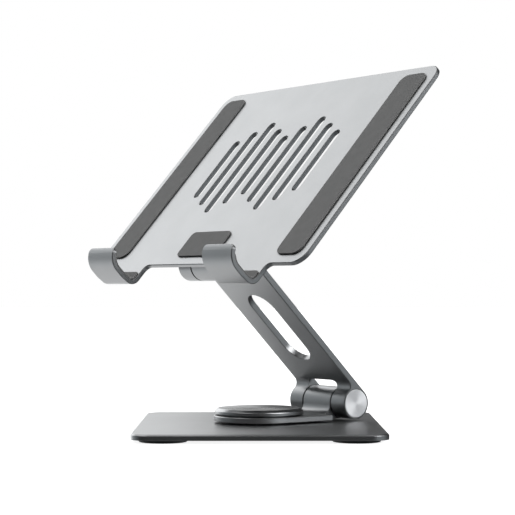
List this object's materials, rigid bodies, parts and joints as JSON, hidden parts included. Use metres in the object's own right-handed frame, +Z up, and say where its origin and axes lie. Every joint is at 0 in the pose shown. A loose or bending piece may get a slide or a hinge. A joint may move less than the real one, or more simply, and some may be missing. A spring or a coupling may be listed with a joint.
{
  "type": "tablet stand",
  "caption": "Swivelling, folding tablet stand: a slotted tray with padded hooks on a friction-hinged arm, over a flat base plate on rubber feet.",
  "frame": {"origin": "On the swivel axis, level with the base plate's flat underside, 2 mm above the table that the feet stand on.", "axes": "+Z up along the swivel axis, away from the base's underside. The base is square to the axes, its longer sides along X and its front at -Y. At rest the swivel is turned 35.8 degrees about +Z, so the tray faces between +X and -Y and leans back from the user."},
  "size_m": [0.2391, 0.218, 0.2247],
  "materials": {
    "anodised_aluminium": "fine bead-blasted, grey anodised, satin",
    "turned_aluminium": "turned, bright silver, with circular brushing",
    "pad_rubber": "matt dark grey silicone rubber",
    "foot_rubber": "matt black rubber",
    "plain_steel": "plain machined steel",
    "slide_nylon": "black nylon"
  },
  "bodies": {
    "base": {"base_plate": "anodised_aluminium", "foot_front_left": "foot_rubber", "foot_front_right": "foot_rubber", "foot_rear_left": "foot_rubber", "foot_rear_right": "foot_rubber", "swivel_stud": "plain_steel", "swivel_thrust_washer": "slide_nylon", "swivel_disc_spring": "plain_steel", "swivel_nut": "plain_steel"},
    "swivel": {"swivel_bracket": "anodised_aluminium", "swivel_cap": "anodised_aluminium", "lower_friction_sleeve": "slide_nylon"},
    "arm": {"arm": "anodised_aluminium", "lower_axle": "plain_steel", "lower_disc_spring_inner": "plain_steel", "lower_disc_spring_outer": "plain_steel", "lower_nut": "plain_steel", "lower_end_cap_left": "turned_aluminium", "lower_end_cap_right": "turned_aluminium", "upper_axle": "plain_steel", "upper_disc_spring_inner": "plain_steel", "upper_disc_spring_outer": "plain_steel", "upper_nut": "plain_steel", "upper_end_cap_left": "turned_aluminium", "upper_end_cap_right": "turned_aluminium"},
    "tray": {"tray": "anodised_aluminium", "tray_bracket": "anodised_aluminium", "upper_friction_sleeve": "slide_nylon", "bracket_screw_lower_left": "plain_steel", "bracket_screw_lower_right": "plain_steel", "bracket_screw_upper_left": "plain_steel", "bracket_screw_upper_right": "plain_steel", "side_pad_left": "pad_rubber", "side_pad_right": "pad_rubber", "centre_pad": "pad_rubber", "hook_liner_left": "pad_rubber", "hook_liner_right": "pad_rubber"}
  },
  "joints": [
    {"name": "base_swivel", "type": "hinge", "parent": "base", "child": "swivel", "pos_m": [0, 0, 0], "axis": [0, 0, 1], "continuous": true},
    {"name": "lower_hinge", "type": "hinge", "parent": "swivel", "child": "arm", "pos_m": [-0.03264, 0.04526, 0.0148], "axis": [0.8111, 0.585, 0], "range_deg": [-45, 30]},
    {"name": "upper_hinge", "type": "hinge", "parent": "arm", "child": "tray", "pos_m": [0.01903, -0.02638, 0.10282], "axis": [0.8111, 0.585, 0], "range_deg": [-63, 35]}
  ]
}
